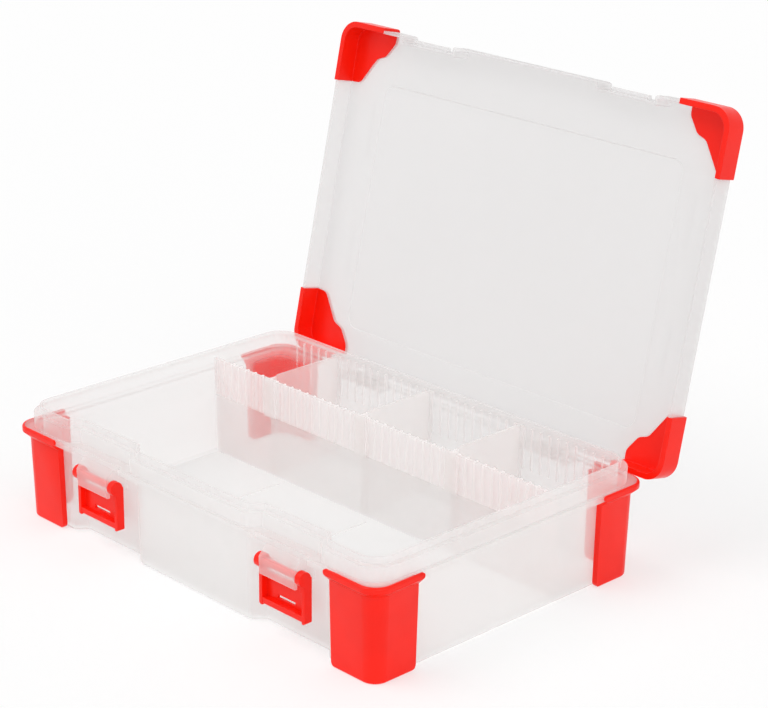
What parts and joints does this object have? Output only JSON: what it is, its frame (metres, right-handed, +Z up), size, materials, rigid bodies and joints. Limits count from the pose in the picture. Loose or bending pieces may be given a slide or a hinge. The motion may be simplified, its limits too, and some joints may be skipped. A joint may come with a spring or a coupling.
{
  "type": "assortment case",
  "caption": "Flat carrying case with a clear hinged lid standing open, red corner guards and swing latches, a ribbed long wall and removable cross dividers.",
  "frame": {"origin": "centre of the tray's underside, on the surface that the case rests on", "axes": "+X along the front to the right, +Y to the rear where the lid is hinged, +Z up"},
  "size_m": [0.3806, 0.3422, 0.3199],
  "materials": {
    "clear_plastic": "slightly milky clear moulded plastic, semi-gloss",
    "red_plastic": "opaque orange-red moulded plastic, semi-gloss"
  },
  "bodies": {
    "tray": {"base_tray": "clear_plastic", "guard_front_left": "red_plastic", "guard_front_right": "red_plastic", "guard_rear_left": "red_plastic", "guard_rear_right": "red_plastic", "hinge_pin_left": "clear_plastic", "hinge_pin_right": "clear_plastic"},
    "lid": {"lid_shell": "clear_plastic", "lid_cap_front_left": "red_plastic", "lid_cap_front_right": "red_plastic", "lid_cap_rear_left": "red_plastic", "lid_cap_rear_right": "red_plastic"},
    "latch_left": {"latch_left": "red_plastic"},
    "latch_right": {"latch_right": "red_plastic"},
    "divider_left": {"divider_left": "clear_plastic"},
    "divider_middle": {"divider_middle": "clear_plastic"},
    "divider_right": {"divider_right": "clear_plastic"}
  },
  "joints": [
    {"name": "lid_hinge", "type": "hinge", "parent": "tray", "child": "lid", "pos_m": [0, 0.13235, 0.0643], "axis": [-1, 0, 0], "range_deg": [-102.35, 0]},
    {"name": "latch_left_pivot", "type": "hinge", "parent": "tray", "child": "latch_left", "pos_m": [-0.0975, -0.1246, 0.0536], "axis": [-1, 0, 0], "range_deg": [0, 180]},
    {"name": "latch_right_pivot", "type": "hinge", "parent": "tray", "child": "latch_right", "pos_m": [0.0975, -0.1246, 0.0536], "axis": [-1, 0, 0], "range_deg": [0, 180]},
    {"name": "divider_left_lift", "type": "slide", "parent": "tray", "child": "divider_left", "axis": [0, 0, 1], "range_m": [0, 0.08]},
    {"name": "divider_middle_lift", "type": "slide", "parent": "tray", "child": "divider_middle", "axis": [0, 0, 1], "range_m": [0, 0.08]},
    {"name": "divider_right_lift", "type": "slide", "parent": "tray", "child": "divider_right", "axis": [0, 0, 1], "range_m": [0, 0.08]}
  ]
}
